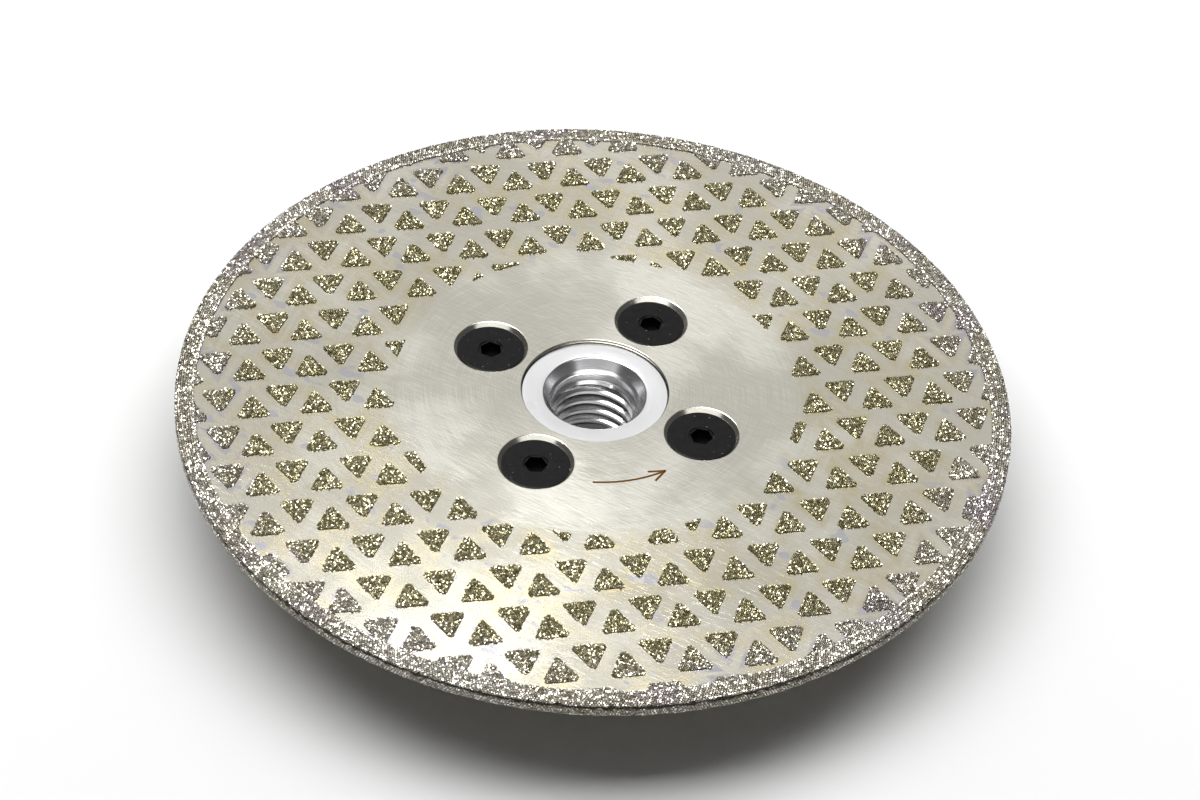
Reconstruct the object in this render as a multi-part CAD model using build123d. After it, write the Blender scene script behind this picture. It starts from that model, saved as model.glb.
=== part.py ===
"""Electroplated diamond cutting and grinding disc, 125 mm, with an M14 flange held by four screws.

Millimetres, +Z up. The origin is the centre of the flange's back face, which seats on the
grinder's spindle; +Z runs along the spindle axis to the working side. The screws lie on X and Y.
"""

import math
import os

from build123d import *

# Disc: steel core with diamond grit plated on its rim and, in small triangles, on both faces.
disc_radius = 62.5
core_thickness = 1.6
bore_radius = 22.23 / 2
coat_thickness = 0.3
rim_band_width = 2.9
clear_radius = 30.2

# Triangle pattern: rows of triangles that point alternately away from and towards the row's base.
row_angle = 38.0
pitch_along_row = 9.27
row_spacing = 8.03
first_row_offset = 1.19
turned_triangle_shift = 2.97
triangle_width = 5.35
triangle_height = 4.95
triangle_corner_radius = 0.6
plating_growth = 0.6
corner_growth_share = 0.25
smallest_piece_area = 1.5

# Flange: aluminium, a boss that centres the disc, a plate that backs it and a hub with two flats.
shoulder_z = 12.4
boss_radius = 11.1
boss_height = 1.0
boss_chamfer = 0.2
plate_radius = 25.0
plate_thickness = 7.0
plate_chamfer = 0.6
hub_radius = 15.0
hub_chamfer = 0.6
hub_across_flats = 24.0
hub_flat_height = 4.0

# Flange bore, from the boss down: entry chamfer, cone, chamfer, relief, then the M14 x 2 thread.
thread_minor_radius = 11.835 / 2
thread_major_radius = 7.0
entry_radius = 8.2
cone_top_radius = 7.7
cone_bottom_radius = 6.85
relief_radius = 6.4
entry_depth = 0.2
cone_depth = 1.64
relief_top_depth = 2.02
relief_bottom_depth = 3.2

# Screws: M5 countersunk with a 3 mm hexagon socket, four on one pitch circle.
screw_count = 4
screw_circle_radius = 18.0
screw_head_radius = 5.1
screw_head_land = 0.1
screw_head_recess = 0.45
screw_shank_radius = 2.5
screw_length = 8.0
screw_tip_chamfer = 0.5
socket_across_flats = 3.0
socket_depth = 2.0

# Worked out from the sizes above.
core_bottom_z = shoulder_z
core_top_z = shoulder_z + core_thickness
core_radius = disc_radius - coat_thickness
band_inner_radius = disc_radius - rim_band_width
boss_top_z = shoulder_z + boss_height
plate_bottom_z = shoulder_z - plate_thickness
screw_head_top_z = core_top_z - screw_head_recess
screw_tip_z = screw_head_top_z - screw_length
countersink_radius = screw_head_radius + screw_head_recess + screw_head_land
countersink_bottom_z = core_top_z - (countersink_radius - screw_shank_radius)

# Solids that stand on their base, centred on Z.
standing = (Align.CENTER, Align.CENTER, Align.MIN)


def revolved(profile):
    """A solid of revolution about Z from (radius, z) points."""
    face = make_face(Polyline(*[(r, 0, z) for r, z in profile], close=True))
    return revolve(face, axis=Axis.Z)


def ring(inner_radius, outer_radius, bottom_z, thickness):
    """A flat ring that starts at bottom_z."""
    outline = Circle(outer_radius) - Circle(inner_radius)
    return extrude(Pos(0, 0, bottom_z) * outline, thickness)


def screw_places():
    """Where the screw axes stand, counted from +X."""
    return PolarLocations(screw_circle_radius, screw_count)


def countersunk_hole(bottom_z):
    """The space of one screw hole: a 90 degree countersink above a plain hole."""
    cone_height = core_top_z - countersink_bottom_z
    hole_depth = core_top_z - bottom_z
    cone = Cone(screw_shank_radius, countersink_radius, cone_height, align=standing)
    hole = Cylinder(screw_shank_radius, hole_depth, align=standing)
    return Pos(0, 0, countersink_bottom_z) * cone + Pos(0, 0, bottom_z) * hole


def blade_core():
    """The steel blank with its centre bore and four countersunk holes."""
    blank = ring(bore_radius, core_radius, core_bottom_z, core_thickness)
    return blank - [place * countersunk_hole(core_bottom_z) for place in screw_places()]


def flange_body():
    """Boss, backing plate and hub, turned in one piece."""
    return revolved(
        [
            (0, 0),
            (hub_radius - hub_chamfer, 0),
            (hub_radius, hub_chamfer),
            (hub_radius, plate_bottom_z),
            (plate_radius - plate_chamfer, plate_bottom_z),
            (plate_radius, plate_bottom_z + plate_chamfer),
            (plate_radius, shoulder_z),
            (boss_radius, shoulder_z),
            (boss_radius, boss_top_z - boss_chamfer),
            (boss_radius - boss_chamfer, boss_top_z),
            (0, boss_top_z),
        ]
    )


def flange_bore():
    """The space inside the flange, with the thread at its minor diameter."""
    thread_chamfer = thread_major_radius - thread_minor_radius
    relief_chamfer = relief_radius - thread_minor_radius
    return revolved(
        [
            (0, 0),
            (thread_major_radius, 0),
            (thread_minor_radius, thread_chamfer),
            (thread_minor_radius, boss_top_z - relief_bottom_depth - relief_chamfer),
            (relief_radius, boss_top_z - relief_bottom_depth),
            (relief_radius, boss_top_z - relief_top_depth),
            (cone_bottom_radius, boss_top_z - cone_depth),
            (cone_top_radius, boss_top_z - entry_depth),
            (entry_radius, boss_top_z),
            (0, boss_top_z),
        ]
    )


def wrench_flats():
    """The two blocks cut from the hub's sides to leave the flats for a spanner."""
    block_width = hub_radius
    block = Box(
        block_width,
        2 * hub_radius,
        hub_flat_height,
        align=(Align.MIN, Align.CENTER, Align.MIN),
    )
    outward = Pos(hub_across_flats / 2, 0, 0)
    return [Rot(0, 0, turn) * outward * block for turn in (0, 180)]


def flange():
    """The flange with its bore, spanner flats and screw holes."""
    holes = [place * countersunk_hole(plate_bottom_z) for place in screw_places()]
    return flange_body() - flange_bore() - wrench_flats() - holes


def screw():
    """One countersunk screw, on the Z axis at its fitted height."""
    cone_bottom_z = screw_head_top_z - screw_head_land - (screw_head_radius - screw_shank_radius)
    body = revolved(
        [
            (0, screw_tip_z),
            (screw_shank_radius - screw_tip_chamfer, screw_tip_z),
            (screw_shank_radius, screw_tip_z + screw_tip_chamfer),
            (screw_shank_radius, cone_bottom_z),
            (screw_head_radius, screw_head_top_z - screw_head_land),
            (screw_head_radius, screw_head_top_z),
            (0, screw_head_top_z),
        ]
    )
    hexagon = RegularPolygon(socket_across_flats / 2, 6, major_radius=False)
    socket = extrude(Pos(0, 0, screw_head_top_z) * hexagon, -socket_depth)
    return body - socket


def triangle_outline(growth):
    """A rounded triangle about its centroid, pointing along +Y and grown by thicker plating."""
    width = triangle_width + growth
    height = triangle_height + growth
    base_y = -height / 3
    sharp = Polygon((-width / 2, base_y), (width / 2, base_y), (0, base_y + height), align=None)
    return fillet(sharp.vertices(), triangle_corner_radius + corner_growth_share * growth)


def triangle_places():
    """Each triangle's centroid and its turn, in the disc's plane."""
    rows = math.ceil(disc_radius / row_spacing) + 1
    columns = math.ceil(disc_radius / pitch_along_row) + 1
    places = []
    for row in range(-rows, rows + 1):
        along_row_base = first_row_offset + row * row_spacing
        for column in range(-columns, columns + 1):
            upright = ((column + 0.5) * pitch_along_row, along_row_base)
            turned = (column * pitch_along_row, along_row_base + turned_triangle_shift)
            places.append((*upright, 0))
            places.append((*turned, 180))
    return places


def triangle_faces():
    """Every plated triangle that lies at least partly outside the clear zone."""
    reach = triangle_height
    faces = []
    for x, y, turn in triangle_places():
        radius = math.hypot(x, y)
        if not clear_radius - reach < radius < disc_radius + reach:
            continue
        outward = (radius - clear_radius) / (disc_radius - clear_radius)
        growth = plating_growth * min(max(outward, 0), 1)
        faces.append(Rot(0, 0, row_angle) * Pos(x, y) * Rot(0, 0, turn) * triangle_outline(growth))
    return faces


def clipped(faces, inner_radius, outer_radius):
    """The parts of the faces between two radii, without the slivers."""
    zone = Circle(outer_radius) - Circle(inner_radius)
    pieces = []
    for face in faces:
        for piece in (face & zone).faces():
            if piece.area > smallest_piece_area:
                pieces.append(piece)
    return pieces


def segments(pieces, bottom_z):
    """Plated triangles as separate solids that stand on bottom_z."""
    solids = [extrude(Pos(0, 0, bottom_z) * piece, coat_thickness, dir=(0, 0, 1)) for piece in pieces]
    return Compound(children=[solid.solid() for solid in solids])


def rim_coating(teeth):
    """The plated rim: a channel around the core's edge, with the triangles that run into it."""
    bottom_z = core_bottom_z - coat_thickness
    band = ring(band_inner_radius, disc_radius, bottom_z, core_thickness + 2 * coat_thickness)
    band -= ring(band_inner_radius, core_radius, core_bottom_z, core_thickness)
    for tooth in teeth:
        for tooth_z in (bottom_z, core_top_z):
            band += extrude(Pos(0, 0, tooth_z) * tooth, coat_thickness, dir=(0, 0, 1))
    return band


def rim_teeth(faces):
    """The outlines of the triangles that reach the rim band, cut off inside the coated edge."""
    disc = Circle((band_inner_radius + disc_radius) / 2)
    clear_of_rim = Circle(band_inner_radius)
    teeth = []
    for face in faces:
        crosses_band = (face - clear_of_rim).faces() and (face & clear_of_rim).faces()
        if crosses_band:
            teeth += (face & disc).faces()
    return teeth


def free_triangles(faces):
    """The triangles that stay clear of the rim band."""
    clear_of_rim = Circle(band_inner_radius)
    return [face for face in faces if not (face - clear_of_rim).faces()]


def save(shape, name):
    """Writes one sub-part as parts/name.step."""
    export_step(shape, f"parts/{name}.step")


def main():
    os.makedirs("parts", exist_ok=True)
    save(blade_core(), "blade_core")
    save(flange(), "flange")
    for number, place in enumerate(screw_places(), start=1):
        save(place * screw(), f"screw_{number}")
    faces = triangle_faces()
    triangles = clipped(free_triangles(faces), clear_radius, band_inner_radius)
    save(segments(triangles, core_top_z), "top_segments")
    save(segments(triangles, core_bottom_z - coat_thickness), "back_segments")
    save(rim_coating(rim_teeth(faces)), "rim_coating")


main()
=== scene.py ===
"""Looks of a 125 mm diamond cutting and grinding disc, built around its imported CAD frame.

Shapes are worked out in millimetres and turned into metres when a mesh is made.
"""

import cmath
import math
from itertools import product

import bmesh
import bpy
import numpy as np
from mathutils import Matrix, Vector
from mathutils.geometry import delaunay_2d_cdt


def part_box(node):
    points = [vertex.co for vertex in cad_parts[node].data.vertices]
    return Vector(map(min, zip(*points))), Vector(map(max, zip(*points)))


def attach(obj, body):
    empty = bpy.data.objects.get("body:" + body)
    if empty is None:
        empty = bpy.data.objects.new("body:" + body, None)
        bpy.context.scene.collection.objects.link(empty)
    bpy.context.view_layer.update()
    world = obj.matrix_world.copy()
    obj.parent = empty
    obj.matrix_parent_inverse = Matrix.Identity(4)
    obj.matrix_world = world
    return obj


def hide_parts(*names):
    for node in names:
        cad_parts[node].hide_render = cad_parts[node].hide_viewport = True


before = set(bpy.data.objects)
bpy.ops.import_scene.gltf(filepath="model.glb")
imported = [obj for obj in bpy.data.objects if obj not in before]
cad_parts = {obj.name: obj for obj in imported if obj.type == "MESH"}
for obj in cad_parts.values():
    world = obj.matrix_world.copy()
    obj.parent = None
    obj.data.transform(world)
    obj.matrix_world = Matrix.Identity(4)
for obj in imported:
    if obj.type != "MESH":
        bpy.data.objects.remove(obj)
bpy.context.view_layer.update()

MM = 0.001
random = np.random.default_rng(7)


def node_box(node):
    """A CAD node's lowest and highest corner, in millimetres."""
    low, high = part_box(node)
    return np.array(low) / MM, np.array(high) / MM


# Sizes read from the frame.
_, COAT_HIGH = node_box("rim_coating")
CORE_LOW, CORE_HIGH = node_box("blade_core")
_, FLANGE_HIGH = node_box("flange")
SCREW_LOW, SCREW_HIGH = node_box("screw_1")
DISC_R = COAT_HIGH[0]
CORE_R = CORE_HIGH[0]
TOP_Z, BACK_Z = CORE_HIGH[2], CORE_LOW[2]
MIDDLE_Z = (TOP_Z + BACK_Z) / 2
COAT = COAT_HIGH[2] - TOP_Z
SHOULDER_Z = BACK_Z
BOSS_TOP_Z = FLANGE_HIGH[2]
PLATE_R = FLANGE_HIGH[0]
HEAD_R = (SCREW_HIGH[1] - SCREW_LOW[1]) / 2
HEAD_TOP_Z = SCREW_HIGH[2]
TIP_Z = SCREW_LOW[2]
SCREW_CIRCLE_R = (SCREW_HIGH[0] + SCREW_LOW[0]) / 2

# Sizes that the frame's boxes don't give, as in the CAD part.
BORE_R = 22.23 / 2
BOSS_R = 11.1
PLATE_THICKNESS = 7.0
PLATE_CHAMFER = 0.6
HUB_R = 15.0
HUB_CHAMFER = 0.6
HUB_FLATS = 24.0
HUB_FLAT_HEIGHT = 4.0
SHANK_R = 2.5
HEAD_LAND = 0.1
SINK_R = HEAD_R + (TOP_Z - HEAD_TOP_Z) + HEAD_LAND
SOCKET_FLATS = 3.0
SOCKET_DEPTH = 2.0
BAND_WIDTH = 2.9
BAND_R = DISC_R - BAND_WIDTH
CLEAR_R = 30.2

# The triangle pattern. Growth is how much wider and taller a triangle gets from the inner edge of the
# pattern to the rim. Triangles within ZONE_R are one piece and those beyond it another.
ROW_ANGLE = math.radians(38.0)
PITCH = 9.27
ROW_SPACING = 8.03
FIRST_ROW = 1.19
TURNED_SHIFT = 2.97
TRI_WIDTH = 5.35
TRI_HEIGHT = 4.95
TRI_CORNER = 0.6
GROWTH = 0.6
ZONE_R = 48.0


# ---------------------------------------------------------------- meshes


def make_object(name, points, faces, replaced=(), smooth=True):
    """A piece of the object from points in millimetres and lists of corners."""
    mesh = bpy.data.meshes.new(name)
    points = np.asarray(points, float) * MM
    if isinstance(faces, np.ndarray):
        corners = faces.shape[1]
        mesh.vertices.add(len(points))
        mesh.vertices.foreach_set("co", points.astype(np.float32).ravel())
        mesh.loops.add(faces.size)
        mesh.loops.foreach_set("vertex_index", faces.astype(np.int32).ravel())
        mesh.polygons.add(len(faces))
        mesh.polygons.foreach_set("loop_start", np.arange(0, faces.size, corners, dtype=np.int32))
        mesh.update(calc_edges=True)
    else:
        mesh.from_pydata([tuple(p) for p in points], [], faces)
    mesh.validate()
    if smooth:
        mesh.shade_smooth()
    else:
        mesh.shade_flat()
    piece = bpy.data.objects.new(name, mesh)
    bpy.context.scene.collection.objects.link(piece)
    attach(piece, "root")
    if replaced:
        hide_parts(*replaced)
    return piece


def smooth_by_angle(piece, degrees):
    """Marks edges over that angle sharp, so that flats stay flat and round walls stay round."""
    piece.data.set_sharp_from_angle(angle=math.radians(degrees))


class Soup:
    """Points and faces gathered from several surfaces into one mesh."""

    def __init__(self):
        self.points, self.faces = [], []

    def add(self, points, faces):
        start = len(self.points)
        self.points += [tuple(p) for p in points]
        self.faces += [tuple(start + i for i in f) for f in faces]

    def build(self, name, replaced, angle):
        piece = make_object(name, self.points, self.faces, replaced)
        turn_outwards(piece, weld=0.002)
        smooth_by_angle(piece, angle)
        return piece


def turn_outwards(piece, weld=0.0):
    """Joins points within that many millimetres, and turns all faces outwards."""
    shape = bmesh.new()
    shape.from_mesh(piece.data)
    if weld:
        bmesh.ops.remove_doubles(shape, verts=shape.verts, dist=weld * MM)
        bmesh.ops.dissolve_degenerate(shape, edges=shape.edges, dist=weld * MM / 4)
    bmesh.ops.recalc_face_normals(shape, faces=shape.faces)
    shape.to_mesh(piece.data)
    shape.free()


def lathe(profile, steps, centre=(0, 0)):
    """Points and quads of a (radius, z) profile turned about a vertical axis."""
    turn = np.arange(steps) * 2 * math.pi / steps
    points = [
        (centre[0] + r * math.cos(t), centre[1] + r * math.sin(t), z) for r, z in profile for t in turn
    ]
    faces = []
    for row in range(len(profile) - 1):
        for k in range(steps):
            a, b = row * steps + k, row * steps + (k + 1) % steps
            faces.append((a, b, b + steps, a + steps))
    return points, faces


def circle_points(radius, steps, centre=(0, 0), start=0.0):
    turn = start + np.arange(steps) * 2 * math.pi / steps
    return [(centre[0] + radius * math.cos(t), centre[1] + radius * math.sin(t)) for t in turn]


def flat_with_holes(outer, holes, z):
    """A flat face with an outline and round holes, as triangles."""
    loops = [outer] + holes
    points, edges = [], []
    for loop in loops:
        start = len(points)
        points += [Vector(p) for p in loop]
        edges += [(start + i, start + (i + 1) % len(loop)) for i in range(len(loop))]
    made, _, faces, *_ = delaunay_2d_cdt(points, edges, [], 1, 1e-6)
    kept = []
    for face in faces:
        middle = sum((made[i] for i in face), Vector((0, 0))) / len(face)
        if not any(inside_loop(middle, hole) for hole in holes):
            kept.append(tuple(face))
    return [(p[0], p[1], z) for p in made], kept


def inside_loop(point, loop):
    """True if a point lies within a closed outline."""
    inside = False
    for (x0, y0), (x1, y1) in zip(loop, loop[1:] + loop[:1]):
        if (y0 > point[1]) != (y1 > point[1]):
            if point[0] < x0 + (point[1] - y0) * (x1 - x0) / (y1 - y0):
                inside = not inside
    return inside


def thread_rows(low_z, high_z, pitch, breaks, steps):
    """Heights of a helical thread's rows: one row of points per break and turn, cut off at both ends."""
    turns = int(math.ceil((high_z - low_z) / pitch)) + 2
    levels = np.array([n + b for n in range(-2, turns) for b in breaks]) * pitch + low_z
    rise = np.arange(steps + 1) / steps * pitch
    return np.clip(levels[:, None] + rise[None, :], low_z, high_z), levels[:, None] + rise[None, :]


def helical_surface(low_z, high_z, pitch, breaks, depths, radius, steps, centre=(0, 0)):
    """A threaded wall. breaks are shares of a pitch and depths the share of full depth at each;
    radius(z, depth share) gives the wall's radius."""
    z, raw = thread_rows(low_z, high_z, pitch, breaks, steps)
    rows = len(z)
    share = np.interp(
        ((z - raw) / pitch + np.tile(breaks, rows // len(breaks))[:, None]) % 1.0,
        list(breaks) + [1.0],
        list(depths) + [depths[0]],
    )
    turn = np.arange(steps + 1) * 2 * math.pi / steps
    r = radius(z, share)
    points = np.stack(
        [centre[0] + r * np.cos(turn), centre[1] + r * np.sin(turn), z],
        axis=-1,
    ).reshape(-1, 3)
    faces = []
    for row in range(rows - 1):
        for k in range(steps):
            a = row * (steps + 1) + k
            quad = (a, a + 1, a + steps + 2, a + steps + 1)
            if np.ptp(points[list(quad), 2]) > 1e-6:
                faces.append(quad)
    return points, faces


# ---------------------------------------------------------------- blade core


def screw_centres():
    return circle_points(SCREW_CIRCLE_R, 4)


def make_core():
    """The steel blank: two flat faces, bore and countersunk holes, with a fine bevel at each edge."""
    bevel = 0.08
    steps, hole_steps = 256, 96
    sink_back_r = SINK_R - (TOP_Z - BACK_Z)
    soup = Soup()
    centres = screw_centres()
    top_holes = [circle_points(BORE_R + bevel, steps)]
    top_holes += [circle_points(SINK_R + bevel, hole_steps, c) for c in centres]
    soup.add(*flat_with_holes(circle_points(CORE_R, steps), top_holes, TOP_Z))
    back_holes = [circle_points(BORE_R + bevel, steps)]
    back_holes += [circle_points(sink_back_r, hole_steps, c) for c in centres]
    points, faces = flat_with_holes(circle_points(CORE_R, steps), back_holes, BACK_Z)
    soup.add(points, [f[::-1] for f in faces])
    soup.add(*lathe([(CORE_R, BACK_Z), (CORE_R, TOP_Z)], steps))
    bore = [
        (BORE_R + bevel, TOP_Z),
        (BORE_R + bevel / 4, TOP_Z - bevel / 3),
        (BORE_R, TOP_Z - bevel),
        (BORE_R, BACK_Z + bevel),
        (BORE_R + bevel, BACK_Z),
    ]
    soup.add(*lathe(bore, steps))
    for centre in centres:
        sink = [
            (SINK_R + bevel, TOP_Z),
            (SINK_R - bevel / 4, TOP_Z - bevel / 2),
            (SINK_R - 2 * bevel, TOP_Z - 2 * bevel),
            (sink_back_r, BACK_Z),
        ]
        soup.add(*lathe(sink, hole_steps, centre))
    return soup.build("blade_core_brushed", ["blade_core"], 10)


# ---------------------------------------------------------------- flange


THREAD_PITCH = 2.0
THREAD_MAJOR_R = 7.0
THREAD_MINOR_R = 11.835 / 2
THREAD_TOP_Z = BOSS_TOP_Z - 3.35
THREAD_MOUTH_R = THREAD_MAJOR_R + 0.15
BORE_PROFILE = [  # radius, depth below the boss's top
    (8.2, 0.0),
    (7.86, 0.06),
    (7.72, 0.2),
    (6.85, 1.64),
    (6.4, 2.02),
    (6.4, 3.2),
]


def internal_radius(z, share):
    """Radius of the flange's thread: its depth fades where the tap ran out, and its mouth is wide."""
    run_out = np.clip((THREAD_TOP_Z - z) / THREAD_PITCH + 0.25, 0, 1)
    wall = THREAD_MINOR_R + share * (THREAD_MAJOR_R - THREAD_MINOR_R) * run_out
    mouth = THREAD_MOUTH_R - z
    top = THREAD_MINOR_R + np.clip(z - THREAD_TOP_Z + 0.35, 0, 0.35) * 1.3
    return np.maximum(wall, np.maximum(mouth, top))


def make_flange():
    """Boss, plate and hub with flats, countersunk screw holes and the real M14 x 2 thread."""
    steps, hole_steps = 192, 64
    edge = 0.2
    plate_z = SHOULDER_Z - PLATE_THICKNESS
    sink_r = SINK_R - (TOP_Z - SHOULDER_Z)
    hole_r, hole_mouth_r = SHANK_R + 0.05, SHANK_R + 0.45
    soup = Soup()
    centres = screw_centres()
    # Shoulder, with the four countersinks.
    shoulder_holes = [circle_points(BOSS_R, steps)]
    shoulder_holes += [circle_points(sink_r, hole_steps, c) for c in centres]
    soup.add(*flat_with_holes(circle_points(PLATE_R - edge, steps), shoulder_holes, SHOULDER_Z))
    for centre in centres:
        hole = [
            (sink_r, SHOULDER_Z),
            (hole_r, SHOULDER_Z - (sink_r - hole_r)),
            (hole_r, plate_z + hole_mouth_r - hole_r),
            (hole_mouth_r, plate_z),
        ]
        soup.add(*lathe(hole, hole_steps, centre))
    # Boss, seen from the working side.
    boss = [
        (BOSS_R, SHOULDER_Z),
        (BOSS_R, BOSS_TOP_Z - 0.22),
        (BOSS_R - 0.07, BOSS_TOP_Z - 0.07),
        (BOSS_R - 0.22, BOSS_TOP_Z),
        (BORE_PROFILE[0][0] + 0.06, BOSS_TOP_Z),
    ]
    inner = [(r, BOSS_TOP_Z - depth) for r, depth in BORE_PROFILE]
    inner = eased(inner, 0.07)
    soup.add(*lathe(boss + inner[1:] + [(THREAD_MINOR_R + 0.455, THREAD_TOP_Z)], steps))
    # Plate and its back face, with the screw holes, up to the hub.
    side = [
        (PLATE_R - edge, SHOULDER_Z),
        (PLATE_R, SHOULDER_Z - edge),
        (PLATE_R, plate_z + PLATE_CHAMFER),
        (PLATE_R - PLATE_CHAMFER / 4, plate_z + PLATE_CHAMFER / 3),
        (PLATE_R - PLATE_CHAMFER, plate_z),
    ]
    soup.add(*lathe(side, steps))
    back_holes = [circle_points(HUB_R, steps)]
    back_holes += [circle_points(hole_mouth_r, hole_steps, c) for c in centres]
    points, faces = flat_with_holes(circle_points(PLATE_R - PLATE_CHAMFER, steps), back_holes, plate_z)
    soup.add(points, [f[::-1] for f in faces])
    soup.add(*hub(plate_z, steps))
    # The thread, then the hub's mouth.
    breaks = (0.0, 0.125, 0.4375, 0.6875)
    depths = (1.0, 1.0, 0.0, 0.0)
    soup.add(
        *helical_surface(0.0, THREAD_TOP_Z, THREAD_PITCH, breaks, depths, internal_radius, steps)
    )
    return soup.build("flange_turned", ["flange"], 10)


def eased(profile, size):
    """The profile with each inner corner cut by a small bevel."""
    result = [profile[0]]
    for before, corner, after in zip(profile, profile[1:], profile[2:]):
        for other in (before, after):
            gap = math.dist(corner, other)
            share = min(size / gap, 0.4)
            result.append(tuple(c + (o - c) * share for c, o in zip(corner, other)))
    return result + [profile[-1]]


def hub(plate_z, steps):
    """The hub below the plate: round, with two flats for a spanner near its end."""
    points, faces = [], []
    turn = np.arange(steps) * 2 * math.pi / steps

    def ring(radius, z, flats):
        row = []
        for t in turn:
            r = radius
            if flats:
                r = min(r, flats / 2 / max(abs(math.cos(t)), 1e-6))
            row.append((r * math.cos(t), r * math.sin(t), z))
        return row

    rings = [
        ring(HUB_R, plate_z, 0),
        ring(HUB_R, HUB_FLAT_HEIGHT, 0),
        ring(HUB_R, HUB_FLAT_HEIGHT, HUB_FLATS),
        ring(HUB_R, HUB_CHAMFER, HUB_FLATS),
        ring(HUB_R - HUB_CHAMFER / 4, HUB_CHAMFER / 3, HUB_FLATS - 0.1),
        ring(HUB_R - HUB_CHAMFER, 0.0, HUB_FLATS - 0.5),
        ring(THREAD_MOUTH_R, 0.0, 0),
    ]
    for row in rings:
        points += row
    for k in range(len(rings) - 1):
        for i in range(steps):
            a, b = k * steps + i, k * steps + (i + 1) % steps
            faces.append((a, b, b + steps, a + steps))
    return points, faces


# ---------------------------------------------------------------- screws


SCREW_PITCH = 0.8
SCREW_THREAD_DEPTH = 0.43
TIP_R = SHANK_R - 0.55


def external_radius(z, share):
    """Radius of a screw's thread, with its end chamfered."""
    crest = SHANK_R - share * SCREW_THREAD_DEPTH
    return np.minimum(crest, TIP_R + (z - TIP_Z))


def make_screw(name, centre, node, turn):
    """A countersunk screw: eased head, hexagon socket with a drilled floor, rolled thread."""
    steps = 96
    flat_r = HEAD_R - 0.22
    cone_z = HEAD_TOP_Z - HEAD_LAND - (HEAD_R - SHANK_R)
    soup = Soup()
    # Head: its cone, its thin land and its eased top edge.
    head = [
        (SHANK_R, cone_z),
        (HEAD_R - 0.03, HEAD_TOP_Z - HEAD_LAND - 0.06),
        (HEAD_R, HEAD_TOP_Z - HEAD_LAND),
        (HEAD_R - 0.02, HEAD_TOP_Z - 0.06),
        (HEAD_R - 0.1, HEAD_TOP_Z - 0.015),
        (flat_r, HEAD_TOP_Z),
    ]
    soup.add(*lathe(head, steps, centre))
    corner_r = SOCKET_FLATS / math.sqrt(3)
    hexagon = circle_points(corner_r, 6, centre, turn)
    mouth_r, seat_r, seat_z = corner_r + 0.2, corner_r + 0.05, HEAD_TOP_Z - 0.14
    mouth = circle_points(mouth_r, steps, centre)
    soup.add(*flat_with_holes(circle_points(flat_r, steps, centre), [mouth], HEAD_TOP_Z))
    soup.add(*lathe([(mouth_r, HEAD_TOP_Z), (seat_r, seat_z)], steps, centre))
    soup.add(*flat_with_holes(circle_points(seat_r, steps, centre), [hexagon], seat_z))
    floor_z = HEAD_TOP_Z - SOCKET_DEPTH
    points = [(*p, seat_z) for p in hexagon] + [(*p, floor_z) for p in hexagon]
    points.append((*centre, floor_z - 0.5))
    faces = [(k, (k + 1) % 6, (k + 1) % 6 + 6, k + 6) for k in range(6)]
    faces += [(6 + k, 6 + (k + 1) % 6, 12) for k in range(6)]
    soup.add(points, faces)
    # Shank with its thread, and the flat tip.
    thread_top = cone_z - 0.25
    breaks = (0.0, 0.25, 0.5, 0.75)
    depths = (0.0, 0.35, 1.0, 0.35)
    soup.add(
        *helical_surface(
            TIP_Z, thread_top, SCREW_PITCH, breaks, depths, external_radius, steps, centre
        )
    )
    soup.add(*lathe([(SHANK_R - 0.15, thread_top), (SHANK_R, cone_z)], steps, centre))
    tip = circle_points(TIP_R, steps, centre)
    soup.add([(*p, TIP_Z) for p in tip], [tuple(reversed(range(steps)))])
    return soup.build(name, [node], 6)


# ---------------------------------------------------------------- diamond grit


# Sizes of the grains, how far each is shaken off its place as a share of its size, the spread of the
# slopes of their tops, and the column, row and kind of the six middles round a grain.
GRAIN = 0.31
RIM_GRAIN = 0.41
SHAKE = 0.26
TILT = 0.26
RIM_TILT = 0.18
AROUND = ((0, 0, 0), (-1, 0, 1), (-1, 0, 0), (-1, -1, 1), (0, -1, 0), (0, -1, 1))


class GrainField:
    """Grains on a shaken triangular lattice, each one a tilted bump that ends where three grains meet.

    Grain (i, j) stands at (i + j / 2, 0.866 j) grain sizes. The six points round it are the middles of
    the lattice's triangles, two for each grain. A closed field joins its last column to its first."""

    def __init__(self, grain, columns, rows, start=(0.0, 0.0), closed=False):
        self.columns, self.closed = columns, closed
        shake = random.uniform(-SHAKE, SHAKE, (rows + 1, columns + 1, 2)) * grain
        if closed:
            shake[:, columns] = shake[:, 0]
        i, j = np.meshgrid(np.arange(columns + 1), np.arange(rows + 1))
        place = np.stack([(i + j / 2) * grain, j * grain * math.sqrt(0.75)], -1)
        c = place + shake + np.array(start)
        here, east, north, both = c[:-1, :-1], c[:-1, 1:], c[1:, :-1], c[1:, 1:]
        self.centres = here
        self.middles = np.stack([here + east + north, east + both + north], 2).reshape(-1, 2) / 3

    def around(self, i, j):
        """Numbers of the six middles round each grain, anticlockwise."""
        numbers = []
        for di, dj, kind in AROUND:
            column = (i + di) % self.columns if self.closed else i + di
            numbers.append(((j + dj) * self.columns + column) * 2 + kind)
        return np.stack(numbers, -1)


def grain_faces(ring, count):
    """Triangles of `count` grains: a flat top of six points each and six sides down to the middles."""
    ring = ring + 6 * count
    own = np.arange(6 * count).reshape(count, 6)
    after, own_after = np.roll(ring, -1, axis=1), np.roll(own, -1, axis=1)
    tops = [own[:, [0, k, k + 1]] for k in range(1, 5)]
    sides = [(own, ring, after), (own, after, own_after)]
    return np.concatenate(tops + [np.stack(side, -1).reshape(-1, 3) for side in sides])


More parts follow.
